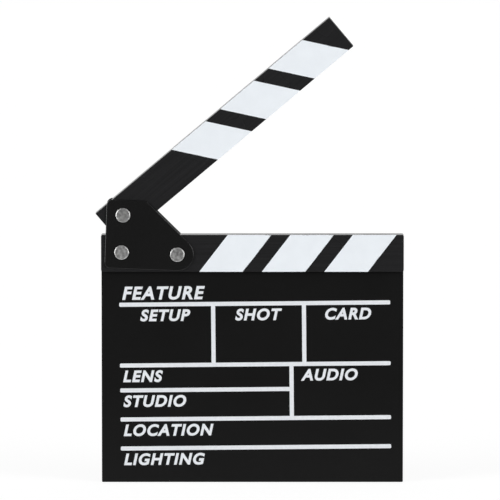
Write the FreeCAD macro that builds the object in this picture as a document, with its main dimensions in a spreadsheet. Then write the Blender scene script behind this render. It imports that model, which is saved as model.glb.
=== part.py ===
import FreeCAD, Part
import enum
import os
import Sketcher

# Clapperboard. X runs to the right seen from the front, the front faces -Y and Z is up.
# The origin lies under the middle of the slate panel's bottom edge, half way through the panel.
# Lengths are in millimetres and angles in degrees.

# Driving dimensions
SIZES = {
    # Slate panel
    "panel_height": 140.8,
    "panel_thickness": 4.0,
    "panel_end_inset": 0.2,
    "panel_corner_round": 0.8,
    "panel_edge_ease": 0.25,
    "tongue_depth": 6.6,
    "groove_clearance": 0.05,
    # Sticks
    "stick_thickness": 10.0,
    "stick_edge_ease": 0.2,
    "lower_stick_length": 200.0,
    "lower_stick_height": 24.5,
    "lower_stick_corner_round": 1.2,
    "upper_stick_width": 24.7,
    "tip_overhang": 2.75,
    "heel_overhang": 13.3,
    "heel_flat_angle": 53.0,
    # Hinge
    "open_angle": 40.1,
    "closing_gap": 0.85,
    "side_clearance": 0.15,
    "left_rivet_inset": 13.6,
    "rivet_span": 36.8,
    "hinge_tilt": 2.2,
    # Hinge plates
    "plate_thickness": 1.0,
    "plate_side_margin": 11.0,
    "plate_top_margin": 10.1,
    "plate_top_run": 14.8,
    "plate_lobe_radius": 10.8,
    "plate_corner_radius": 4.0,
    "plate_knee_radius": 2.5,
    "plate_edge_ease": 0.45,
    # Rivets
    "shank_radius": 2.4,
    "shank_clearance": 0.05,
    "head_radius": 4.8,
    "head_height": 1.3,
    "head_crown": 0.25,
    "head_flat_radius": 2.0,
    "head_rim_round": 0.8,
    "tail_radius": 3.7,
    "tail_height": 1.1,
    "tail_round": 0.7,
    "tail_bore_radius": 1.7,
    "tail_bore_depth": 2.4,
    "tail_lip_round": 0.4,
    # Pins through the tongue
    "pin_radius": 0.6,
    "pin_front_wall": 1.6,
    "pin_head_radius": 1.1,
    "pin_head_height": 0.6,
    "pin_clearance": 0.03,
    "pin_end_inset": 10.0,
    "pin_plate_gap": 8.8,
    # White stripes
    "stripe_film": 0.12,
    "stripe_slant": 37.6,
    # Shares of the run from the hinge plates to the end of each stick
    "lower_stripe_start_share": 0.1983,
    "lower_stripe_pitch_share": 0.2975,
    "lower_stripe_width_share": 0.2075,
    "upper_stripe_start_share": 0.2124,
    "upper_stripe_pitch_share": 0.2945,
    "upper_stripe_width_share": 0.2062,
    # Printed ruling
    "print_film": 0.1,
    "print_tilt": 0.52,
    "rule_width": 2.75,
    "rule_end_round": 0.8,
    # Shares of the panel's width from its middle, then of its height
    "rule_left_share": 0.436,
    "rule_right_share": 0.462,
    "left_divider_share": 0.125,
    "right_divider_share": 0.176,
    "low_divider_share": 0.133,
    "top_rule_share": 0.847,
    "upper_rule_share": 0.559,
    "short_rule_share": 0.441,
    "lower_rule_share": 0.303,
    "foot_rule_share": 0.165,
}

STRIPE_NAMES = ("inner", "middle", "outer")
PIN_COUNT = 4

# An edge is a given ring when its length and its middle agree to this share of the ring's length.
RING_MATCH_SHARE = 0.001


class Axis(enum.IntEnum):
    """A sketch's own axes, as its constraints number them."""

    H = -1
    V = -2


class At(enum.IntEnum):
    """The points of a curve, as a sketch's constraints number them."""

    START = 1
    END = 2
    CENTRE = 3


doc = FreeCAD.newDocument("clapperboard")
sheet = doc.addObject("Spreadsheet::Sheet", "sizes")
for row, (name, value) in enumerate(SIZES.items(), start=1):
    sheet.set(f"A{row}", name)
    sheet.set(f"B{row}", str(value))
    sheet.setAlias(f"B{row}", name)
doc.recompute()

pieces = []

# Places worked out from the driving dimensions
LEFT_END = "-sizes.lower_stick_length / 2"
PANEL_WIDTH = "(sizes.lower_stick_length - 2 * sizes.panel_end_inset)"
STICK_FRONT = "-sizes.stick_thickness / 2"
STICK_BACK = "sizes.stick_thickness / 2"
HALF_WIDTH = "sizes.upper_stick_width / 2"
UPPER_THICKNESS = "(sizes.stick_thickness - 2 * sizes.side_clearance)"
STACK = "(sizes.stick_thickness + 2 * sizes.plate_thickness)"
RIVET_HOLE = "sizes.shank_radius + sizes.shank_clearance"
TONGUE_MIDDLE = "sizes.tongue_depth / 2"
PIN_HOLE = "sizes.pin_radius + sizes.pin_clearance"
PIN_HEAD_HOLE = "sizes.pin_head_radius + sizes.pin_clearance"
PIN_LENGTH = "sizes.stick_thickness - sizes.pin_front_wall"

# The two lower rivets straddle the middle of the lower stick, and the pivot stands square above the left one.
LEFT_RIVET_RISE = "(sizes.lower_stick_height / 2 + sizes.rivet_span / 2 * sin(sizes.hinge_tilt))"
PIVOT_RISE = f"(sizes.lower_stick_height + sizes.closing_gap + {HALF_WIDTH})"
RIVET_COLUMN = f"(({PIVOT_RISE} - {LEFT_RIVET_RISE}) / cos(sizes.hinge_tilt))"
PIVOT_INSET = f"(sizes.left_rivet_inset + {RIVET_COLUMN} * sin(sizes.hinge_tilt))"
RIGHT_RIVET_INSET = "(sizes.left_rivet_inset + sizes.rivet_span * cos(sizes.hinge_tilt))"
RIGHT_RIVET_RISE = f"({LEFT_RIVET_RISE} - sizes.rivet_span * sin(sizes.hinge_tilt))"

# The pins and stripes share the run that the hinge plates leave free.
PLATE_REACH = f"({RIGHT_RIVET_INSET} + sizes.plate_lobe_radius)"
LOWER_RUN = f"(sizes.lower_stick_length - {PLATE_REACH})"
UPPER_RUN = f"({LOWER_RUN} + sizes.tip_overhang)"
FIRST_PIN = f"({PLATE_REACH} + sizes.pin_plate_gap)"
PIN_RUN = f"(sizes.lower_stick_length - sizes.pin_end_inset - {FIRST_PIN})"


def number(expression):
    """The value of an expression on the sizes, as a plain number."""
    found = sheet.evalExpression(expression)
    return float(getattr(found, "Value", found))


# Sketches


def new_body(label):
    """An empty body that becomes the piece of that name."""
    body = doc.addObject("PartDesign::Body", label)
    body.Label = label
    pieces.append(body)
    return body


def new_sketch(body, role, name):
    """A sketch on one of the body's own origin planes."""
    sketch = body.newObject("Sketcher::SketchObject", name)
    plane = next(feature for feature in body.Origin.OriginFeatures if feature.Role == role)
    sketch.AttachmentSupport = [(plane, "")]
    sketch.MapMode = "FlatFace"
    return sketch


def hold(sketch, kind, curve, end, expression):
    """Keep one end of a curve at a distance from the sketch's origin, or on its axis where that is zero."""
    if expression == "0":
        axis = {"DistanceX": Axis.V, "DistanceY": Axis.H}[kind]
        sketch.addConstraint(Sketcher.Constraint("PointOnObject", curve, end, axis))
        return
    distance = Sketcher.Constraint(kind, Axis.H, At.START, curve, end, number(expression))
    index = sketch.addConstraint(distance)
    sketch.setExpression(f"Constraints[{index}]", expression)


def crown_arc(start, end):
    """The arc between two points that is centred on the H axis."""
    along = (start.Length**2 - end.Length**2) / (2 * (start.x - end.x))
    centre = FreeCAD.Vector(along, 0, 0)
    circle = Part.Circle(centre, FreeCAD.Vector(0, 0, 1), (end - centre).Length)
    return Part.ArcOfCircle(circle, circle.parameter(start), circle.parameter(end))


def draw_outline(sketch, corners, crowned_side=None):
    """A closed outline through corners given as expressions. A crowned side is an arc about the H axis."""
    points = [FreeCAD.Vector(number(across), number(up), 0) for across, up in corners]
    sides = []
    for index, start in enumerate(points):
        end = points[(index + 1) % len(points)]
        side = crown_arc(start, end) if index == crowned_side else Part.LineSegment(start, end)
        sides.append(sketch.addGeometry(side))
    for index, side in enumerate(sides):
        following = sides[(index + 1) % len(sides)]
        sketch.addConstraint(Sketcher.Constraint("Coincident", side, At.END, following, At.START))
        hold(sketch, "DistanceX", side, At.START, corners[index][0])
        hold(sketch, "DistanceY", side, At.START, corners[index][1])
    if crowned_side is not None:
        centred = Sketcher.Constraint("PointOnObject", sides[crowned_side], At.CENTRE, Axis.H)
        sketch.addConstraint(centred)


def draw_circles(sketch, centres, radius):
    """Circles of one radius about centres given as expressions."""
    for across, up in centres:
        middle = FreeCAD.Vector(number(across), number(up), 0)
        circle = sketch.addGeometry(Part.Circle(middle, FreeCAD.Vector(0, 0, 1), number(radius)))
        hold(sketch, "DistanceX", circle, At.CENTRE, across)
        hold(sketch, "DistanceY", circle, At.CENTRE, up)
        index = sketch.addConstraint(Sketcher.Constraint("Radius", circle, number(radius)))
        sketch.setExpression(f"Constraints[{index}]", radius)


def rectangle(width, height):
    """Corners of a rectangle that stands on the sketch's origin."""
    return [("0", "0"), (width, "0"), (width, height), ("0", height)]


# Features


def pad(body, sketch, length, backward=False):
    """Raise a sketch by a length, along the sketch's normal or against it."""
    feature = body.newObject("PartDesign::Pad", f"{sketch.Name}_pad")
    feature.Profile = sketch
    feature.Reversed = backward
    feature.setExpression("Length", length)
    doc.recompute()
    return feature


def pocket(body, sketch, length=None, backward=False):
    """Cut a sketch into the body on the side that pad raises it, right through where no length is given."""
    before = body.Shape.Volume
    feature = body.newObject("PartDesign::Pocket", f"{sketch.Name}_pocket")
    feature.Profile = sketch
    feature.Reversed = not backward
    if length is None:
        feature.Type = "ThroughAll"
    else:
        feature.setExpression("Length", length)
    doc.recompute()
    if body.Shape.Volume >= before:
        raise RuntimeError(f"{feature.Name} cuts nothing")


def ease(body, name, is_eased, radius):
    """Round the edges of the body's last feature that pass a test."""
    feature = body.newObject("PartDesign::Fillet", name)
    base = feature.BaseFeature
    numbered = enumerate(base.Shape.Edges, start=1)
    feature.Base = (base, [f"Edge{index}" for index, edge in numbered if is_eased(edge)])
    feature.setExpression("Radius", radius)
    doc.recompute()
    return feature


def place(piece, across, depth, up, angle=None):
    """Set a piece's place by expressions. An angle, where given, lifts its right-hand end."""
    if angle is not None:
        turn = FreeCAD.Rotation(FreeCAD.Vector(0, -1, 0), number(angle))
        piece.Placement = FreeCAD.Placement(FreeCAD.Vector(), turn)
        piece.setExpression("Placement.Rotation.Angle", angle)
    for axis, expression in zip("xyz", (across, depth, up)):
        piece.setExpression(f"Placement.Base.{axis}", expression)
    doc.recompute()


# Tests that choose edges


def in_one_layer(edge):
    """Edges that stay at one depth, as the outline of a front or a back does."""
    first, last = edge.Vertexes[0], edge.Vertexes[-1]
    return abs(first.Y - last.Y) < edge.Length / 2


def through_thickness(edge):
    """Edges that run from a front to a back, as the corners of an outline do."""
    return not in_one_layer(edge)


def at_either_end(shape):
    """A test for the corners of an outline at its far left and far right."""
    box = shape.BoundBox

    def is_at_end(edge):
        along = edge.CenterOfMass.x
        near = min(along - box.XMin, box.XMax - along) < edge.Length
        return near and through_thickness(edge)

    return is_at_end


def sharp_edges(shape):
    """A test for the outlines of front and back, and for the corners between two flats."""

    def is_sharp(edge):
        meeting = [face for face in shape.Faces if any(edge.isSame(side) for side in face.Edges)]
        return in_one_layer(edge) or all(isinstance(face.Surface, Part.Plane) for face in meeting)

    return is_sharp


def across_edge_at(shape, across, up):
    """A test for the one edge through the thickness that lies nearest to a corner of the outline."""
    corner = FreeCAD.Vector(number(across), 0, number(up))

    def reach(edge):
        middle = edge.CenterOfMass
        return (FreeCAD.Vector(middle.x, 0, middle.z) - corner).Length

    return min(filter(through_thickness, shape.Edges), key=reach).isSame


def rim_of(face):
    """A test for the edges of one face."""
    return lambda edge: any(edge.isSame(side) for side in face.Edges)


def ring_at(depth, radius):
    """A test for the circular edge of a turned piece at a depth and a radius."""
    centre = FreeCAD.Vector(0, number(depth), 0)
    ring = Part.Circle(centre, FreeCAD.Vector(0, 1, 0), number(radius)).toShape()
    near = ring.Length * RING_MATCH_SHARE

    def is_ring(edge):
        return abs(edge.Length - ring.Length) < near and (edge.CenterOfMass - centre).Length < near

    return is_ring


# Pieces


def pin_places(inset="0"):
    """Places of the pins along the stick, for a piece whose left end is inset from the stick's."""
    return [f"{FIRST_PIN} - {inset} + {PIN_RUN} * {index} / {PIN_COUNT - 1}" for index in range(PIN_COUNT)]


def make_slate_panel():
    """The sheet that is written on. Its top edge is the tongue in the lower stick's groove."""
    body = new_body("slate_panel")
    face = new_sketch(body, "XZ_Plane", "panel_face")
    draw_outline(face, rectangle(PANEL_WIDTH, "sizes.panel_height + sizes.tongue_depth"))
    pad(body, face, "sizes.panel_thickness")
    ease(body, "panel_corners", through_thickness, "sizes.panel_corner_round")
    ease(body, "panel_ease", in_one_layer, "sizes.panel_edge_ease")
    pin_holes = new_sketch(body, "XZ_Plane", "panel_pin_holes")
    up = f"sizes.panel_height + {TONGUE_MIDDLE}"
    centres = [(across, up) for across in pin_places("sizes.panel_end_inset")]
    draw_circles(pin_holes, centres, PIN_HOLE)
    pocket(body, pin_holes)
    place(body, f"-{PANEL_WIDTH} / 2", "sizes.panel_thickness / 2", "0")


def make_lower_stick():
    """The fixed stick, with the groove for the tongue and the holes for rivets and pins."""
    body = new_body("lower_stick")
    face = new_sketch(body, "XZ_Plane", "lower_stick_face")
    draw_outline(face, rectangle("sizes.lower_stick_length", "sizes.lower_stick_height"))
    pad(body, face, "sizes.stick_thickness")
    ease(body, "lower_stick_corners", through_thickness, "sizes.lower_stick_corner_round")
    ease(body, "lower_stick_ease", in_one_layer, "sizes.stick_edge_ease")
    groove = new_sketch(body, "YZ_Plane", "groove_section")
    half_groove = "(sizes.panel_thickness / 2 + sizes.groove_clearance)"
    back = f"{half_groove} - sizes.stick_thickness / 2"
    front = f"-{half_groove} - sizes.stick_thickness / 2"
    top = "sizes.tongue_depth + sizes.groove_clearance"
    draw_outline(groove, [(front, "0"), (back, "0"), (back, top), (front, top)])
    pocket(body, groove)
    rivet_holes = new_sketch(body, "XZ_Plane", "lower_stick_rivet_holes")
    rivets = [("sizes.left_rivet_inset", LEFT_RIVET_RISE), (RIGHT_RIVET_INSET, RIGHT_RIVET_RISE)]
    draw_circles(rivet_holes, rivets, RIVET_HOLE)
    pocket(body, rivet_holes)
    pins = [(across, TONGUE_MIDDLE) for across in pin_places()]
    pin_holes = new_sketch(body, "XZ_Plane", "lower_stick_pin_holes")
    draw_circles(pin_holes, pins, PIN_HOLE)
    pocket(body, pin_holes, PIN_LENGTH)
    head_holes = new_sketch(body, "XZ_Plane", "lower_stick_pin_heads")
    draw_circles(head_holes, pins, PIN_HEAD_HOLE)
    pocket(body, head_holes, "sizes.pin_head_height")
    place(body, LEFT_END, STICK_BACK, "sizes.panel_height")


def put_on_pivot(piece, depth):
    """Hang a piece that is drawn about the pivot, opened by the angle of the rest pose."""
    across = f"{LEFT_END} + {PIVOT_INSET}"
    up = f"sizes.panel_height + {PIVOT_RISE}"
    place(piece, across, depth, up, "sizes.open_angle")


def make_upper_stick():
    """The swinging stick. Its heel is rounded about the pivot, up to a flat that stops it when fully open."""
    body = new_body("upper_stick")
    face = new_sketch(body, "XZ_Plane", "upper_stick_face")
    under = f"-{HALF_WIDTH}"
    tip = f"sizes.lower_stick_length + sizes.tip_overhang - {PIVOT_INSET}"
    heel_end = "-sizes.heel_overhang"
    turn_in = f"{HALF_WIDTH} * tan(sizes.heel_flat_angle / 2)"
    flat_top = f"(sizes.heel_overhang - {turn_in}) * tan(sizes.heel_flat_angle) - {HALF_WIDTH}"
    heel = (f"-{turn_in}", under)
    far_corners = [(tip, under), (tip, HALF_WIDTH), (heel_end, HALF_WIDTH), (heel_end, flat_top)]
    draw_outline(face, [heel, *far_corners])
    block = pad(body, face, UPPER_THICKNESS)
    rounded = ease(body, "heel_round", across_edge_at(block.Shape, *heel), HALF_WIDTH)
    ease(body, "upper_stick_ease", sharp_edges(rounded.Shape), "sizes.stick_edge_ease")
    bore = new_sketch(body, "XZ_Plane", "pivot_bore")
    draw_circles(bore, [("0", "0")], RIVET_HOLE)
    pocket(body, bore)
    put_on_pivot(body, f"{UPPER_THICKNESS} / 2")


def make_hinge_plate(label, at_back):
    """A plate drawn about the left rivet, whose slanted side runs into the lobe round the right rivet."""
    body = new_body(label)
    outline = new_sketch(body, "XZ_Plane", f"{label}_outline")
    left = "-sizes.plate_side_margin"
    bottom = "-sizes.plate_lobe_radius"
    top = f"({RIVET_COLUMN} + sizes.plate_top_margin)"
    run = "(sizes.rivet_span - sizes.plate_top_run)"
    slope = f"(atan({top} / {run}) - asin(sizes.plate_lobe_radius / hypot({run}; {top})))"
    lobe_corner = f"sizes.plate_top_run + ({top} + sizes.plate_lobe_radius) / tan({slope})"
    corners = [(left, bottom), (lobe_corner, bottom), ("sizes.plate_top_run", top), (left, top)]
    draw_outline(outline, corners)
    feature = pad(body, outline, "sizes.plate_thickness", at_back)
    for corner, kind in zip(corners, ("corner", "lobe", "knee", "corner")):
        edge = across_edge_at(feature.Shape, *corner)
        feature = ease(body, f"{label}_{kind}", edge, f"sizes.plate_{kind}_radius")
    outer_face = max(feature.Shape.Faces, key=lambda face: abs(face.CenterOfMass.y))
    ease(body, f"{label}_ease", rim_of(outer_face), "sizes.plate_edge_ease")
    holes = new_sketch(body, "XZ_Plane", f"{label}_holes")
    draw_circles(holes, [("0", "0"), ("0", RIVET_COLUMN), ("sizes.rivet_span", "0")], RIVET_HOLE)
    pocket(body, holes, backward=at_back)
    across = f"{LEFT_END} + sizes.left_rivet_inset"
    depth = STICK_BACK if at_back else STICK_FRONT
    place(body, across, depth, f"sizes.panel_height + {LEFT_RIVET_RISE}", "-sizes.hinge_tilt")


def make_rivet(label, inset, rise):
    """A rivet with a low crowned head, flat in the middle, and a rolled tubular tail at the back."""
    body = new_body(label)
    section = new_sketch(body, "YZ_Plane", f"{label}_section")
    tail_end = f"({STACK} + sizes.tail_height)"
    bore_end = f"{tail_end} - sizes.tail_bore_depth"
    tail_rim = (tail_end, "sizes.tail_radius")
    tail_lip = (tail_end, "sizes.tail_bore_radius")
    head_rim = ("-(sizes.head_height - sizes.head_crown)", "sizes.head_radius")
    corners = [
        (bore_end, "0"),
        (bore_end, "sizes.tail_bore_radius"),
        tail_lip,
        tail_rim,
        (STACK, "sizes.tail_radius"),
        (STACK, "sizes.shank_radius"),
        ("0", "sizes.shank_radius"),
        ("0", "sizes.head_radius"),
        head_rim,
        ("-sizes.head_height", "sizes.head_flat_radius"),
        ("-sizes.head_height", "0"),
    ]
    draw_outline(section, corners, crowned_side=corners.index(head_rim))
    turned = body.newObject("PartDesign::Revolution", f"{label}_turned")
    turned.Profile = section
    turned.ReferenceAxis = (section, ["H_Axis"])
    doc.recompute()
    ease(body, f"{label}_head_rim", ring_at(*head_rim), "sizes.head_rim_round")
    ease(body, f"{label}_tail_rim", ring_at(*tail_rim), "sizes.tail_round")
    ease(body, f"{label}_tail_lip", ring_at(*tail_lip), "sizes.tail_lip_round")
    depth = f"{STICK_FRONT} - sizes.plate_thickness"
    place(body, f"{LEFT_END} + {inset}", depth, f"sizes.panel_height + {rise}")


def make_panel_pins():
    """Brads through the tongue, with flat heads that lie flush in the back of the lower stick."""
    body = new_body("panel_pins")
    centres = [(across, "0") for across in pin_places()]
    shanks = new_sketch(body, "XZ_Plane", "pin_shanks")
    draw_circles(shanks, centres, "sizes.pin_radius")
    pad(body, shanks, PIN_LENGTH)
    heads = new_sketch(body, "XZ_Plane", "pin_heads")
    draw_circles(heads, centres, "sizes.pin_head_radius")
    pad(body, heads, "sizes.pin_head_height")
    place(body, LEFT_END, STICK_BACK, f"sizes.panel_height + {TONGUE_MIDDLE}")


def stripe_middle(stick, run, index):
    """How far along the free run of its stick the middle of a stripe lies."""
    share = f"(sizes.{stick}_stripe_start_share + {index} * sizes.{stick}_stripe_pitch_share)"
    return f"{share} * {run}"


def make_stripe(label, middle, width, lean, low, high):
    """A slanted band of film about a middle. Its top goes right where lean is 1 and left where it is -1."""
    body = new_body(label)
    sketch = new_sketch(body, "XZ_Plane", f"{label}_outline")
    half_run = f"{lean} * (({high}) - ({low})) / 2 * tan(sizes.stripe_slant)"
    corners = [
        (f"{middle} - {half_run} - {width} / 2", low),
        (f"{middle} - {half_run} + {width} / 2", low),
        (f"{middle} + {half_run} + {width} / 2", high),
        (f"{middle} + {half_run} - {width} / 2", high),
    ]
    draw_outline(sketch, corners)
    pad(body, sketch, "sizes.stripe_film")
    return body


def make_lower_stripe(name, index):
    """A stripe right across the lower stick's front, leaning right."""
    middle = f"{PLATE_REACH} + {stripe_middle('lower', LOWER_RUN, index)}"
    width = f"sizes.lower_stripe_width_share * {LOWER_RUN}"
    stripe = make_stripe(f"lower_stripe_{name}", middle, width, 1, "0", "sizes.lower_stick_height")
    place(stripe, LEFT_END, STICK_FRONT, "sizes.panel_height")


def make_upper_stripe(name, index):
    """A stripe right across the upper stick's front, leaning left."""
    middle = f"{PLATE_REACH} - {PIVOT_INSET} + {stripe_middle('upper', UPPER_RUN, index)}"
    width = f"sizes.upper_stripe_width_share * {UPPER_RUN}"
    stripe = make_stripe(f"upper_stripe_{name}", middle, width, -1, f"-{HALF_WIDTH}", HALF_WIDTH)
    put_on_pivot(stripe, f"-{UPPER_THICKNESS} / 2")


def add_rule(body, name, left, right, low, high):
    """One printed line between four bounds, counted from the middle of the panel's bottom edge."""
    sketch = new_sketch(body, "XZ_Plane", name)
    draw_outline(sketch, [(left, low), (right, low), (right, high), (left, high)])
    return pad(body, sketch, "sizes.print_film")


def make_slate_ruling():
    """The printed lines that divide the panel into fields, all turned by the tilt of the print."""
    body = new_body("slate_ruling")
    half = "sizes.rule_width / 2"
    names = ("top", "upper", "short", "lower", "foot")
    levels = {name: f"sizes.{name}_rule_share * sizes.panel_height" for name in names}
    left_end = f"-sizes.rule_left_share * {PANEL_WIDTH}"
    right_end = f"sizes.rule_right_share * {PANEL_WIDTH}"
    low_divider = f"sizes.low_divider_share * {PANEL_WIDTH}"
    for name, level in levels.items():
        right = low_divider if name == "short" else right_end
        low, high = f"{level} - {half}", f"{level} + {half}"
        add_rule(body, f"{name}_rule", left_end, right, low, high)
    dividers = {
        "left": (f"-sizes.left_divider_share * {PANEL_WIDTH}", levels["upper"], levels["top"]),
        "right": (f"sizes.right_divider_share * {PANEL_WIDTH}", levels["upper"], levels["top"]),
        "low": (low_divider, levels["lower"], levels["upper"]),
    }
    for name, (middle, low, high) in dividers.items():
        left, right = f"{middle} - {half}", f"{middle} + {half}"
        lines = add_rule(body, f"{name}_divider_rule", left, right, low, high)
    ease(body, "rule_ends", at_either_end(lines.Shape), "sizes.rule_end_round")
    place(body, "0", "-sizes.panel_thickness / 2", "0", "sizes.print_tilt")


make_slate_panel()
make_lower_stick()
make_upper_stick()
make_hinge_plate("front_hinge_plate", at_back=False)
make_hinge_plate("rear_hinge_plate", at_back=True)
make_rivet("pivot_rivet", PIVOT_INSET, PIVOT_RISE)
make_rivet("left_rivet", "sizes.left_rivet_inset", LEFT_RIVET_RISE)
make_rivet("right_rivet", RIGHT_RIVET_INSET, RIGHT_RIVET_RISE)
make_panel_pins()
for along, stripe_name in enumerate(STRIPE_NAMES):
    make_lower_stripe(stripe_name, along)
    make_upper_stripe(stripe_name, along)
make_slate_ruling()

# Every feature has to be sound before a file is written.
for item in doc.Objects:
    if {"Invalid", "Error"} & set(item.State):
        raise RuntimeError(f"{item.Label} failed: {item.State}")
for piece in pieces:
    if piece.Shape.isNull() or not piece.Shape.isValid():
        raise RuntimeError(f"{piece.Label} has no valid shape")

os.makedirs("parts", exist_ok=True)
for piece in pieces:
    piece.Shape.exportStep(f"parts/{piece.Label}.step")
    box = piece.Shape.optimalBoundingBox()
    lowest = f"({box.XMin:.2f}, {box.YMin:.2f}, {box.ZMin:.2f})"
    highest = f"({box.XMax:.2f}, {box.YMax:.2f}, {box.ZMax:.2f})"
    print(f"{piece.Label}: {piece.Shape.Volume:.1f} mm3, {lowest} to {highest}")
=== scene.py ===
# %% [markdown]
# # Dressing a clapperboard
# A clapperboard is a ruled black slate with two striped sticks hinged along its top. Its solids are
# loaded from a finished CAD model, so their shapes and places are settled. This lesson gives each
# solid the finish of the real thing, letters the printed fields, and sets the board in a plain white
# studio. The sticks could be modelled again here, but then every size would live in two places.

# %% Load the solids
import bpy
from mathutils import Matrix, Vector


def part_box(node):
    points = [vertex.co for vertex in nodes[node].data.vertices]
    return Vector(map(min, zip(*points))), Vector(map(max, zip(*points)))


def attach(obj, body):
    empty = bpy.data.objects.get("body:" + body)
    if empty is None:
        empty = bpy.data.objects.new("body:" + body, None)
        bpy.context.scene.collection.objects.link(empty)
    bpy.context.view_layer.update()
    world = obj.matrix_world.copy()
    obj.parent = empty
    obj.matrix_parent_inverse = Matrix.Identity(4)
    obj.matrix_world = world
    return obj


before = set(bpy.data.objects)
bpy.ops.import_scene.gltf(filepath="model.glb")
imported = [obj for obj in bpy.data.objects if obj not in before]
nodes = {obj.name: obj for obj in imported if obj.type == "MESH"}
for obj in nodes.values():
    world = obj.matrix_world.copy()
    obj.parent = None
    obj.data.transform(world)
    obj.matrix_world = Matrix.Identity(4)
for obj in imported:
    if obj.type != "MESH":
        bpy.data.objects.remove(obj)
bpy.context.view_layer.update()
MM = 0.001
print("solids:", ", ".join(sorted(nodes)))

# %% [markdown]
# ## Colours and nodes
# Paint charts and photos give colours in sRGB, but a shader adds up light in linear numbers, so one
# function turns hex codes into linear colours. Nodes could be wired one by one in long lists of calls.
# A single helper that takes a node's settings and its links keeps each material as short as a recipe.

# %% Helpers for colours and nodes
import bpy

# The Mix node keeps its colour sockets at these places, behind the ones for numbers and vectors.
MIX_SHARE, MIX_FIRST, MIX_SECOND, MIX_RESULT = 0, 6, 7, 2


def linear(hex_code):
    """An sRGB hex code as the linear red, green, blue and alpha of a shader socket."""
    shares = [int(hex_code[start:start + 2], 16) / 255 for start in (1, 3, 5)]
    return [s / 12.92 if s <= 0.04045 else ((s + 0.055) / 1.055) ** 2.4 for s in shares] + [1.0]


def add_node(owner, kind, inputs=None, **settings):
    """Adds one node. An input is a value, a socket to link, or a node whose first output it takes."""
    node = owner.node_tree.nodes.new(kind)
    for name, value in settings.items():
        setattr(node, name, value)
    for key, value in (inputs or {}).items():
        if isinstance(value, bpy.types.Node):
            value = value.outputs[0]
        if isinstance(value, bpy.types.NodeSocket):
            owner.node_tree.links.new(value, node.inputs[key])
        else:
            node.inputs[key].default_value = value
    return node


print("mid grey #808080 is", round(linear("#808080")[0], 3), "in linear light")

# %% [markdown]
# ## A material to start from
# Every finish here is laid out in space rather than on an unwrapped image: the Object coordinates of
# a solid are metres in the board's own frame, so a pattern's size can be written in millimetres. They
# also travel with the solid when the upper stick swings. Unwrapping would suit printed pictures, but
# paint, metal and ink have no seams to hide.

# %% Helpers for materials
def new_material(name):
    """An empty node material, with the place on the solid, in metres, that its patterns start from."""
    material = bpy.data.materials.new(name)
    material.use_nodes = True
    material.node_tree.nodes.clear()
    return material, add_node(material, "ShaderNodeTexCoord").outputs["Object"]


def finish_solids(material, names):
    """Puts a finish on solids, which keep their shapes."""
    for name in names:
        nodes[name].material_slots[0].material = material
    print(f"{material.name}: {', '.join(names)}")


print("solids that wait for a finish:", len(nodes))

# %% [markdown]
# ## Where edges wear
# A board that is clapped and carried loses a little paint along its corners first. The Bevel node
# gives the direction a surface would face if its corners were rounded off. Where that differs from the
# true direction there is a corner, and a cloudy noise then breaks the worn line into patches, which are
# rarer the higher the noise has to be. Painting the wear by hand would look as good, but only on this
# one size of board.

# %% A mask of worn edges
WEAR_WIDTH = 0.7 * MM
WEAR_PATCH = 9 * MM
WEAR_FADE = 0.1
# The cosine of the angle between the two directions, at a sharp corner and on the flat.
SHARP_CORNER, FLAT_FACE = 0.8, 0.99


def worn_edges(material, place, least):
    """One in the worn patches of a solid's corners, where a noise is over its least, else nought."""
    rounded = add_node(material, "ShaderNodeBevel", {"Radius": WEAR_WIDTH}, samples=8)
    true = add_node(material, "ShaderNodeNewGeometry").outputs["Normal"]
    along = add_node(material, "ShaderNodeVectorMath", {0: rounded, 1: true}, operation="DOT_PRODUCT")
    corner = add_node(material, "ShaderNodeMapRange", {
        "Value": along.outputs["Value"], "From Min": SHARP_CORNER, "From Max": FLAT_FACE,
        "To Min": 1.0, "To Max": 0.0})
    cloud = add_node(material, "ShaderNodeTexNoise", {
        "Vector": place, "Scale": 1 / WEAR_PATCH, "Detail": 6.0})
    patch = add_node(material, "ShaderNodeMapRange", {
        "Value": cloud, "From Min": least, "From Max": least + WEAR_FADE})
    worn = add_node(material, "ShaderNodeMath", {0: corner, 1: patch}, operation="MULTIPLY")
    return worn.outputs[0]


print(f"wear reaches {WEAR_WIDTH / MM} mm from a corner, in patches of {WEAR_PATCH / MM:.0f} mm")

# %% [markdown]
# ## Satin black paint on wood
# The two sticks are planed wood, sprayed with satin black. The eye sees a dark, slightly soft sheen
# and, close up, the long ridges of the grain under the paint. A picture of wood would show colour that
# the paint hides, so the grain is a height here: noise stretched along the stick, with the black a
# trace paler where a ridge is rubbed. The upper stick stands open, so its grain is turned by the same
# angle.

# %% Paint the sticks
import math

OPEN_ANGLE = math.radians(40.1)
GRAIN_RUN = 70 * MM
# Real ridges are about 0.4 mm apart, too fine to show here, so they are drawn three times as wide.
GRAIN_WIDTH = 1.2 * MM
GRAIN_DEPTH = 0.05 * MM
SPRAY_CLOUD = 30 * MM
STICK_WEAR = 0.5


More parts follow.
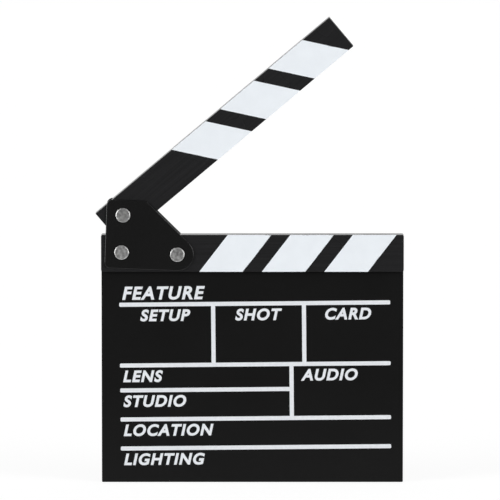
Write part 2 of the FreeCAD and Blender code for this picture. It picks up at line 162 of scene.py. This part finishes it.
def painted_wood(name, lean):
    """Satin black paint over wood whose grain leans from level by an angle."""
    paint, place = new_material(name)
    stretched = add_node(paint, "ShaderNodeMapping", {
        "Vector": place, "Rotation": (0, -lean, 0), "Scale": (GRAIN_RUN, GRAIN_WIDTH, GRAIN_WIDTH)},
        vector_type="TEXTURE")
    grain = add_node(paint, "ShaderNodeTexNoise", {"Vector": stretched, "Scale": 1.0, "Detail": 3.0})
    cloud = add_node(paint, "ShaderNodeTexNoise", {
        "Vector": place, "Scale": 1 / SPRAY_CLOUD, "Detail": 2.0})
    black = add_node(paint, "ShaderNodeMix", {
        MIX_SHARE: grain, MIX_FIRST: linear("#161617"), MIX_SECOND: linear("#272728")},
        data_type="RGBA")
    worn = add_node(paint, "ShaderNodeMix", {
        MIX_SHARE: worn_edges(paint, place, STICK_WEAR), MIX_FIRST: black.outputs[MIX_RESULT],
        MIX_SECOND: linear("#343230")}, data_type="RGBA")
    sheen = add_node(paint, "ShaderNodeMapRange", {"Value": cloud, "To Min": 0.20, "To Max": 0.32})
    ridges = add_node(paint, "ShaderNodeBump", {"Height": grain, "Distance": GRAIN_DEPTH})
    shader = add_node(paint, "ShaderNodeBsdfPrincipled", {
        "Base Color": worn.outputs[MIX_RESULT], "Roughness": sheen, "IOR": 1.5,
        "Specular IOR Level": 0.3, "Normal": ridges})
    add_node(paint, "ShaderNodeOutputMaterial", {"Surface": shader})
    return paint


finish_solids(painted_wood("satin_black_paint_level_wood", 0), ["lower_stick"])
finish_solids(painted_wood("satin_black_paint_raised_wood", OPEN_ANGLE), ["upper_stick"])

# %% [markdown]
# ## Matte black paint on hardboard
# The slate is a sheet of pressed fibreboard, rolled with a matte black that takes chalk. It is darker
# than the sticks because its chalky skin mirrors less, with the fine stipple of the roller and a few
# specks of dust. The specks are cells of a Voronoi pattern: only the middle of a cell is a speck, and
# a second look at the cell's own random colour leaves most of the cells clean. The pattern is turned
# to lie flat on the slate, so that each of its cells meets the surface.

# %% Paint the slate
STIPPLE = 1.5 * MM
STIPPLE_DEPTH = 0.02 * MM
ROLLER_CLOUD = 45 * MM
DUST_SPACING = 11 * MM
DUST_RADIUS = 0.3 * MM
DUSTY_SHARE = 0.1

slate_paint, place = new_material("matte_black_paint_hardboard")
stipple = add_node(slate_paint, "ShaderNodeTexNoise", {
    "Vector": place, "Scale": 1 / STIPPLE, "Detail": 2.0})
cloud = add_node(slate_paint, "ShaderNodeTexNoise", {
    "Vector": place, "Scale": 1 / ROLLER_CLOUD, "Detail": 3.0})
flat = add_node(slate_paint, "ShaderNodeMapping", {"Vector": place, "Rotation": (math.pi / 2, 0, 0)})
cells = add_node(slate_paint, "ShaderNodeTexVoronoi", {
    "Vector": flat, "Scale": 1 / DUST_SPACING}, voronoi_dimensions="2D")
speck = add_node(slate_paint, "ShaderNodeMapRange", {
    "Value": cells.outputs["Distance"], "From Max": DUST_RADIUS / DUST_SPACING,
    "To Min": 1.0, "To Max": 0.0})
dusty = add_node(slate_paint, "ShaderNodeMath", {
    0: cells.outputs["Color"], 1: DUSTY_SHARE}, operation="LESS_THAN")
dust = add_node(slate_paint, "ShaderNodeMath", {0: speck, 1: dusty}, operation="MULTIPLY")
black = add_node(slate_paint, "ShaderNodeMix", {
    MIX_SHARE: cloud, MIX_FIRST: linear("#101010"), MIX_SECOND: linear("#151515")}, data_type="RGBA")
dusted = add_node(slate_paint, "ShaderNodeMix", {
    MIX_SHARE: dust, MIX_FIRST: black.outputs[MIX_RESULT], MIX_SECOND: linear("#4A4A48")},
    data_type="RGBA")
sheen = add_node(slate_paint, "ShaderNodeMapRange", {"Value": cloud, "To Min": 0.50, "To Max": 0.60})
pits = add_node(slate_paint, "ShaderNodeBump", {"Height": stipple, "Distance": STIPPLE_DEPTH})
shader = add_node(slate_paint, "ShaderNodeBsdfPrincipled", {
    "Base Color": dusted.outputs[MIX_RESULT], "Roughness": sheen, "IOR": 1.5,
    "Specular IOR Level": 0.12, "Normal": pits})
add_node(slate_paint, "ShaderNodeOutputMaterial", {"Surface": shader})
finish_solids(slate_paint, ["slate_panel"])

# %% [markdown]
# ## Black powder coat on sheet steel
# The hinge plates are stamped from thin sheet and powder coated, which leaves the soft dimples called
# orange peel and a skin that thickens round the edges. The plates look blacker than the wood, and
# their eased edges catch the lamps in a thin bright line. A glossier paint would give the line too,
# but it would also mirror the studio in the flat.

# %% Coat the plates
# Real orange peel has dimples of about 0.6 mm, less than a dot of the image, so it is drawn wider.
ORANGE_PEEL = 1.3 * MM
PEEL_DEPTH = 0.010 * MM
PLATE_WEAR = 0.5

powder_coat, place = new_material("black_powder_coat_steel")
peel = add_node(powder_coat, "ShaderNodeTexNoise", {
    "Vector": place, "Scale": 1 / ORANGE_PEEL, "Detail": 1.0})
cloud = add_node(powder_coat, "ShaderNodeTexNoise", {
    "Vector": place, "Scale": 1 / SPRAY_CLOUD, "Detail": 2.0})
black = add_node(powder_coat, "ShaderNodeMix", {
    MIX_SHARE: cloud, MIX_FIRST: linear("#060606"), MIX_SECOND: linear("#0A0A0A")}, data_type="RGBA")
worn = add_node(powder_coat, "ShaderNodeMix", {
    MIX_SHARE: worn_edges(powder_coat, place, PLATE_WEAR), MIX_FIRST: black.outputs[MIX_RESULT],
    MIX_SECOND: linear("#3A3A3B")}, data_type="RGBA")
sheen = add_node(powder_coat, "ShaderNodeMapRange", {"Value": cloud, "To Min": 0.22, "To Max": 0.28})
dimples = add_node(powder_coat, "ShaderNodeBump", {"Height": peel, "Distance": PEEL_DEPTH})
shader = add_node(powder_coat, "ShaderNodeBsdfPrincipled", {
    "Base Color": worn.outputs[MIX_RESULT], "Roughness": sheen, "IOR": 1.5,
    "Specular IOR Level": 0.7, "Normal": dimples})
add_node(powder_coat, "ShaderNodeOutputMaterial", {"Surface": shader})
finish_solids(powder_coat, ["front_hinge_plate", "rear_hinge_plate"])

# %% [markdown]
# ## Satin nickel on steel
# The three rivets are steel with a satin nickel plate, pressed flat by the setting tool. They are the
# only bare metal on the front: mid grey faces with a cloudy, handled look, and bright rims where the
# rounded edge turns to the lamps. A metal has no colour of its own beneath the mirror, so the cloud
# goes into its tint and its roughness.

# %% Plate the rivets
HANDLING_CLOUD = 1.7 * MM
TOOL_MARK = 0.9 * MM
TOOL_MARK_DEPTH = 0.006 * MM

nickel, place = new_material("satin_nickel_steel")
cloud = add_node(nickel, "ShaderNodeTexNoise", {
    "Vector": place, "Scale": 1 / HANDLING_CLOUD, "Detail": 3.0})
marks = add_node(nickel, "ShaderNodeTexNoise", {
    "Vector": place, "Scale": 1 / TOOL_MARK, "Detail": 2.0})
mottled = add_node(nickel, "ShaderNodeMapRange", {"Value": cloud, "From Min": 0.35, "From Max": 0.65})
tint = add_node(nickel, "ShaderNodeMix", {
    MIX_SHARE: mottled, MIX_FIRST: linear("#D5D5D4"), MIX_SECOND: linear("#F5F5F4")},
    data_type="RGBA")
sheen = add_node(nickel, "ShaderNodeMapRange", {"Value": mottled, "To Min": 0.38, "To Max": 0.62})
dents = add_node(nickel, "ShaderNodeBump", {"Height": marks, "Distance": TOOL_MARK_DEPTH})
shader = add_node(nickel, "ShaderNodeBsdfPrincipled", {
    "Base Color": tint.outputs[MIX_RESULT], "Metallic": 1.0, "Roughness": sheen, "Normal": dents})
add_node(nickel, "ShaderNodeOutputMaterial", {"Surface": shader})
finish_solids(nickel, ["pivot_rivet", "left_rivet", "right_rivet"])

# %% [markdown]
# ## Bright drawn wire
# The panel pins are cut from wire that was drawn through a die, so fine lines run along each pin. Only
# the heads show, on the back of the stick, and there the ends of the lines are specks, some brighter and
# smoother than others. A plain noise gives such specks, where a stretched one would give the lines.

# %% Finish the pins
# Real draw lines are some 0.05 mm wide, too fine to show on a head of 2 mm, so they are drawn coarser.
DRAW_LINE = 0.3 * MM

drawn_wire, place = new_material("bright_drawn_steel_wire")
lines = add_node(drawn_wire, "ShaderNodeTexNoise", {
    "Vector": place, "Scale": 1 / DRAW_LINE, "Detail": 2.0})
tint = add_node(drawn_wire, "ShaderNodeMix", {
    MIX_SHARE: lines, MIX_FIRST: linear("#9A9A9A"), MIX_SECOND: linear("#C4C3C0")}, data_type="RGBA")
sheen = add_node(drawn_wire, "ShaderNodeMapRange", {"Value": lines, "To Min": 0.25, "To Max": 0.45})
shader = add_node(drawn_wire, "ShaderNodeBsdfPrincipled", {
    "Base Color": tint.outputs[MIX_RESULT], "Metallic": 1.0, "Roughness": sheen})
add_node(drawn_wire, "ShaderNodeOutputMaterial", {"Surface": shader})
finish_solids(drawn_wire, ["panel_pins"])

# %% [markdown]
# ## White paint film
# The stripes are masked and sprayed white over the black. The film is a cool white with an even satin
# skin, a trace cloudy where the coat is thin, and here and there a knocked corner has lost a chip of
# it. Each stripe is its own thin solid, so a plain paint on it gives a crisp edge, with no mask to draw
# in the wood's material.

# %% Paint the stripes
FILM_CLOUD = 9 * MM
FILM_SKIN = 1.6 * MM
FILM_SKIN_DEPTH = 0.006 * MM
FILM_WEAR = 0.58

white_film, place = new_material("satin_white_paint_film")
cloud = add_node(white_film, "ShaderNodeTexNoise", {
    "Vector": place, "Scale": 1 / FILM_CLOUD, "Detail": 3.0})
skin = add_node(white_film, "ShaderNodeTexNoise", {
    "Vector": place, "Scale": 1 / FILM_SKIN, "Detail": 1.0})
white = add_node(white_film, "ShaderNodeMix", {
    MIX_SHARE: cloud, MIX_FIRST: linear("#E6EBF0"), MIX_SECOND: linear("#EEF3F8")}, data_type="RGBA")
chipped = add_node(white_film, "ShaderNodeMix", {
    MIX_SHARE: worn_edges(white_film, place, FILM_WEAR), MIX_FIRST: white.outputs[MIX_RESULT],
    MIX_SECOND: linear("#3A3A3B")}, data_type="RGBA")
sheen = add_node(white_film, "ShaderNodeMapRange", {"Value": cloud, "To Min": 0.42, "To Max": 0.52})
waves = add_node(white_film, "ShaderNodeBump", {"Height": skin, "Distance": FILM_SKIN_DEPTH})
shader = add_node(white_film, "ShaderNodeBsdfPrincipled", {
    "Base Color": chipped.outputs[MIX_RESULT], "Roughness": sheen, "IOR": 1.5, "Normal": waves})
add_node(white_film, "ShaderNodeOutputMaterial", {"Surface": shader})
finish_solids(white_film, sorted(name for name in nodes if "_stripe_" in name))

# %% [markdown]
# ## White printing ink
# The lines and captions of the slate are screen printed: one thin coat of white ink pushed through a
# mesh. The board beneath shows through a little where the coat is thin, so the white is uneven over a
# millimetre or two, and the ink is flatter than the paint of the stripes.

# %% Print the lines
INK_CLOUD = 1.8 * MM

white_ink, place = new_material("matte_white_printing_ink")
coat = add_node(white_ink, "ShaderNodeTexNoise", {
    "Vector": place, "Scale": 1 / INK_CLOUD, "Detail": 3.0})
white = add_node(white_ink, "ShaderNodeMix", {
    MIX_SHARE: coat, MIX_FIRST: linear("#D8DBDF"), MIX_SECOND: linear("#EBEEF2")}, data_type="RGBA")
sheen = add_node(white_ink, "ShaderNodeMapRange", {"Value": coat, "To Min": 0.5, "To Max": 0.65})
shader = add_node(white_ink, "ShaderNodeBsdfPrincipled", {
    "Base Color": white.outputs[MIX_RESULT], "Roughness": sheen, "IOR": 1.5})
add_node(white_ink, "ShaderNodeOutputMaterial", {"Surface": shader})
finish_solids(white_ink, ["slate_ruling"])

# %% [markdown]
# ## Measure the printed lines
# The captions belong between the lines, so the lines are measured first. The whole print sits on the
# panel a little askew; turning its points back by that tilt makes every line level or upright. Their
# heights and their places across then fall into a few tight groups, one for each line. The numbers
# could be copied from the CAD model, but measured ones follow it if it changes.

# %% Find the rows and columns
from mathutils import Matrix

PRINT_TILT = math.radians(0.52)
LINE_GAP = 4 * MM


def groups(values):
    """The lowest and highest of each group of values that lie close together."""
    values = sorted(values)
    starts = [0] + [i for i in range(1, len(values)) if values[i] - values[i - 1] > LINE_GAP]
    return [(values[a], values[b - 1]) for a, b in zip(starts, starts[1:] + [len(values)])]


level = Matrix.Rotation(PRINT_TILT, 3, "Y")
print_points = [level @ vertex.co for vertex in nodes["slate_ruling"].data.vertices]
rows = groups(point.z for point in print_points)
columns = groups(point.x for point in print_points)
print("rows in mm:", [[round(z / MM, 1) for z in row] for row in rows])
print("columns in mm:", [[round(x / MM, 1) for x in column] for column in columns])

# %% [markdown]
# ## Type as a mesh
# Each field has a caption in bold slanted capitals, printed with the lines. Blender's own typeface is
# made bold by growing its outline and slanted by shear, then turned into a mesh as thick as the ink.
# Grown letters would touch, so they are also set wider apart. Drawing each letter by hand would give
# any typeface, but plain capitals need no more than this.

# %% Shape the letters
INK = 0.1 * MM
SLANT = 0.22
BOLD = 0.4 * MM
LETTER_SPACING = 1.16


def caption_mesh(word, size):
    """A word as a mesh of ink, lying flat, with the type at a size."""
    letters = bpy.data.curves.new("letters", "FONT")
    letters.body, letters.size = word, size
    letters.shear, letters.space_character = SLANT, LETTER_SPACING
    letters.extrude, letters.offset = INK / 2, BOLD
    word_object = bpy.data.objects.new("letters", letters)
    bpy.context.collection.objects.link(word_object)
    shaped = word_object.evaluated_get(bpy.context.evaluated_depsgraph_get())
    mesh = bpy.data.meshes.new_from_object(shaped)
    bpy.data.objects.remove(word_object)
    return mesh


def extent(mesh, axis):
    """The lowest and highest place of a mesh along one axis."""
    places = [vertex.co[axis] for vertex in mesh.vertices]
    return min(places), max(places)


print(f"letters: {INK / MM} mm of ink, grown by {BOLD / MM} mm, spaced {LETTER_SPACING} times as wide")

# %% [markdown]
# ## Size and place a caption
# A caption is sized by the height of its capitals, which is measured, because a type size also counts
# the room above and below the letters. It is made lying flat, stood up against the front of the
# slate, and turned by the tilt of the print. It rides on the slate, so it stays put when the upper
# stick swings.

# %% A caption in its field
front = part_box("slate_panel")[0].y


def letter_field(word, height, foot, left, right=None):
    """Prints a caption at the left of a field, or in the middle between its left and right."""
    low, high = extent(caption_mesh(word, height), 1)
    mesh = caption_mesh(word, height * height / (high - low))
    start, end = extent(mesh, 0)
    shift = left - start if right is None else (left + right - start - end) / 2
    lift = foot - extent(mesh, 1)[0]
    upright = Matrix.Translation((shift, front - INK / 2, lift)) @ Matrix.Rotation(math.pi / 2, 4, "X")
    mesh.transform(Matrix.Rotation(-PRINT_TILT, 4, "Y") @ upright)
    mesh.materials.clear()
    mesh.materials.append(white_ink)
    caption = bpy.data.objects.new(f"caption_{word.lower()}", mesh)
    bpy.context.collection.objects.link(caption)
    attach(caption, "slate")
    print(f"{caption.name}: {(end - start) / MM:.1f} mm wide")


print(f"the front of the slate is at y = {front / MM:.1f} mm")

# %% [markdown]
# ## Letter the fields
# The words are plain terms of any film set. The captions hang under the line above them and start at
# the left of their field, but the three of the upper row are set in the middle of theirs, and the
# first of all, a little larger, stands on the top line. Every place is taken from the measured lines.

# %% Print the captions
CAPTION_HEIGHT = 8.2 * MM
TITLE_HEIGHT = 9.2 * MM
CAPTION_GAP = 1.7 * MM
CAPTION_INSET = 2.0 * MM
FIELD_INSET = 4.8 * MM


def hung_under(row):
    """The foot of a caption that hangs under a printed line."""
    return row[0] - CAPTION_GAP - CAPTION_HEIGHT


foot_rule, lower_rule, short_rule, upper_rule, top_rule = rows
left_end, left_divider, low_divider, right_divider, right_end = columns
margin = left_end[0] + CAPTION_INSET
letter_field("FEATURE", TITLE_HEIGHT, top_rule[1] + CAPTION_GAP, margin)
letter_field("SETUP", CAPTION_HEIGHT, hung_under(top_rule), left_end[0], left_divider[0])
letter_field("SHOT", CAPTION_HEIGHT, hung_under(top_rule), left_divider[1], right_divider[0])
letter_field("CARD", CAPTION_HEIGHT, hung_under(top_rule), right_divider[1], right_end[1])
letter_field("LENS", CAPTION_HEIGHT, hung_under(upper_rule), margin)
letter_field("AUDIO", CAPTION_HEIGHT, hung_under(upper_rule), low_divider[1] + FIELD_INSET)
letter_field("STUDIO", CAPTION_HEIGHT, hung_under(short_rule), margin)
letter_field("LOCATION", CAPTION_HEIGHT, hung_under(lower_rule), margin)
letter_field("LIGHTING", CAPTION_HEIGHT, hung_under(foot_rule), margin)

# %% [markdown]
# ## A white room
# The board stands in a white surround, as in a catalogue. Lighting a room until it turns white would
# burn out the stripes too. Instead the world looks white to the camera and in mirrors, through the
# Light Path node, while it lights the board only as a pale room does.

# %% Set the world
scene = bpy.context.scene
scene.view_settings.view_transform = "Standard"
ROOM_FILL = 0.35


def seen_directly(owner):
    """One for rays from the camera, a mirror or glass, and nought for rays that light a surface."""
    path = add_node(owner, "ShaderNodeLightPath").outputs
    camera_or_mirror = add_node(owner, "ShaderNodeMath", {
        0: path["Is Camera Ray"], 1: path["Is Glossy Ray"]}, operation="MAXIMUM")
    return add_node(owner, "ShaderNodeMath", {
        0: camera_or_mirror, 1: path["Is Transmission Ray"]}, operation="MAXIMUM")


room = bpy.data.worlds.new("white_room")
room.use_nodes = True
room.node_tree.nodes.clear()
strength = add_node(room, "ShaderNodeMapRange", {"Value": seen_directly(room), "To Min": ROOM_FILL})
glow = add_node(room, "ShaderNodeBackground", {"Color": linear("#FFFFFF"), "Strength": strength})
add_node(room, "ShaderNodeOutputWorld", {"Surface": glow})
scene.world = room
print("the room fills with", ROOM_FILL, "of white")

# %% [markdown]
# ## A white floor
# The floor runs on until it meets the white of the room, so no edge shows. It glows white to the
# camera and in mirrors in the same way as the room. Only a share of it does: the rest stays plain lit
# paint, and that share carries the soft shadow. All stage pieces are sheets through a few straight
# lines, so one function makes them.

# %% Lay the floor
FLOOR_SIDE = 80.0
# The glow is over 1 because only a share of the floor glows: with the lit share it adds up to white.
FLOOR_GLOW = 1.165
FLOOR_GLOW_SHARE = 0.75


def across(width, y, z):
    """The two ends of a level line that runs across the stage, with its middle at x = 0."""
    return (-width / 2, y, z), (width / 2, y, z)


def bent_sheet(name, lines, material):
    """A stage piece of one sheet that runs through straight lines, each given by its two ends."""
    corners = [end for line in lines for end in line]
    faces = [(2 * i, 2 * i + 1, 2 * i + 3, 2 * i + 2) for i in range(len(lines) - 1)]
    mesh = bpy.data.meshes.new(name)
    mesh.from_pydata(corners, [], faces)
    mesh.materials.append(material)
    sheet = bpy.data.objects.new(name, mesh)
    scene.collection.objects.link(sheet)
    return sheet


floor_paint = new_material("white_floor_paint")[0]
lit = add_node(floor_paint, "ShaderNodeBsdfDiffuse", {"Color": linear("#E8E8E8")})
white = add_node(floor_paint, "ShaderNodeEmission", {"Strength": FLOOR_GLOW})
share = add_node(floor_paint, "ShaderNodeMapRange", {
    "Value": seen_directly(floor_paint), "To Max": FLOOR_GLOW_SHARE})
both = add_node(floor_paint, "ShaderNodeMixShader", {0: share, 1: lit, 2: white})
add_node(floor_paint, "ShaderNodeOutputMaterial", {"Surface": both})
bent_sheet("floor", [across(FLOOR_SIDE, end * FLOOR_SIDE / 2, 0.0) for end in (-1, 1)], floor_paint)
print("floor:", FLOOR_SIDE, "m square")

# %% [markdown]
# ## Grey cards for the black paint
# A black thing looks black only if it mirrors something dark, so a photographer sets grey cards round
# it. Here a hood stands between the camera and the board and bends over the board, and two cards lie on
# the floor, in front and behind. The sides stay open for the lamps. The cards are shown to mirrors
# alone: the camera sees through them, and they cast no shadow and give no light.

# %% Set the cards
HOOD_WIDTH = 6.0
HOOD_HEIGHT = 3.0
HOOD_BACK = 0.3
FLOOR_CARD_WIDTH = 2.0
CARD_NEAR = 0.12
CARD_FAR = 2.5
CARD_LIFT = 0.5 * MM
CARD_LEVEL = 0.14


def mirrored_sheet(name, lines, level):
    """A sheet that only mirrors see, as bright as a level where one is white."""
    light = new_material(name)[0]
    even = add_node(light, "ShaderNodeEmission", {"Strength": level})
    add_node(light, "ShaderNodeOutputMaterial", {"Surface": even})
    sheet = bent_sheet(name, lines, light)
    for ray in ("camera", "diffuse", "transmission", "volume_scatter", "shadow"):
        setattr(sheet, f"visible_{ray}", False)
    print(f"{name}: mirrored at {level} of white")


mirrored_sheet("hood", [
    across(HOOD_WIDTH, -CARD_FAR, CARD_LIFT), across(HOOD_WIDTH, -CARD_FAR, HOOD_HEIGHT),
    across(HOOD_WIDTH, HOOD_BACK, HOOD_HEIGHT)], CARD_LEVEL)
for name, way in (("front_card", -1), ("back_card", 1)):
    ends = [across(FLOOR_CARD_WIDTH, way * reach, CARD_LIFT) for reach in (CARD_NEAR, CARD_FAR)]
    mirrored_sheet(name, ends, CARD_LEVEL)

# %% [markdown]
# ## Two soft lamps
# The rivets have bright rims at the left and right, the plates a bright line down their left edge, and
# the stick throws a thin shadow on the slate below it. So there is one large lamp on either side, a
# little in front and a little above. Area lamps near the board would light the floor in pools. A sun
# lamp with a wide disc is as soft as a big softbox and lights the whole floor evenly, but it has no
# body. For mirrors, a bright softbox therefore stands on each side, from where the lamp shines round to
# just behind the board, and reaches down to the floor.

# %% Hang the lamps
LAMP_TURN = math.radians(62)
LAMP_RISE = math.radians(13)
LAMP_DISC = math.radians(30)
LAMP_STRENGTH = {"left_lamp": 2.12, "right_lamp": 2.02}
SOFTBOX_ENDS = ((1.10, -0.69), (1.28, 0.20))
SOFTBOX_HEIGHT = 1.0
SOFTBOX_LEVEL = {"left_lamp": 4.1, "right_lamp": 3.5}

for name, side in (("left_lamp", -1), ("right_lamp", 1)):
    lamp = bpy.data.lights.new(name, "SUN")
    lamp.energy, lamp.angle = LAMP_STRENGTH[name], LAMP_DISC
    stand = bpy.data.objects.new(name, lamp)
    stand.rotation_euler = (math.pi / 2 - LAMP_RISE, 0, side * LAMP_TURN)
    stand.visible_glossy = False
    scene.collection.objects.link(stand)
    print(f"{name}: {lamp.energy:.2f} W per square metre")
    foot_and_top = [[(side * x, y, z) for x, y in SOFTBOX_ENDS] for z in (0.0, SOFTBOX_HEIGHT)]
    mirrored_sheet(f"{name}_softbox", foot_and_top, SOFTBOX_LEVEL[name])

# %% [markdown]
# ## The camera
# The board is seen straight on and from slightly above: the top of the lower stick is a line barely
# two dots thick, and the slate narrows by less than half a percent towards its foot, so the camera is
# far away with a long lens. The lens is worked out from the width that the image has to show at the
# board, which is its dots times the size of a dot there.

# %% Place the camera
IMAGE_DOTS = 500
DOT = 0.6611 * MM
ELEVATION = math.radians(6.5)
DISTANCE = 4.5
AIM = (-1.6 * MM, 0.0, 154.7 * MM)

lens = bpy.data.cameras.new("camera")
lens.lens = lens.sensor_width * DISTANCE / (IMAGE_DOTS * DOT)
camera = bpy.data.objects.new("camera", lens)
back = DISTANCE * math.cos(ELEVATION)
up = DISTANCE * math.sin(ELEVATION)
camera.location = (AIM[0], AIM[1] - back, AIM[2] + up)
camera.rotation_euler = (math.pi / 2 - ELEVATION, 0, 0)
scene.collection.objects.link(camera)
scene.camera = camera
print(f"lens: {lens.lens:.0f} mm at {DISTANCE} m")
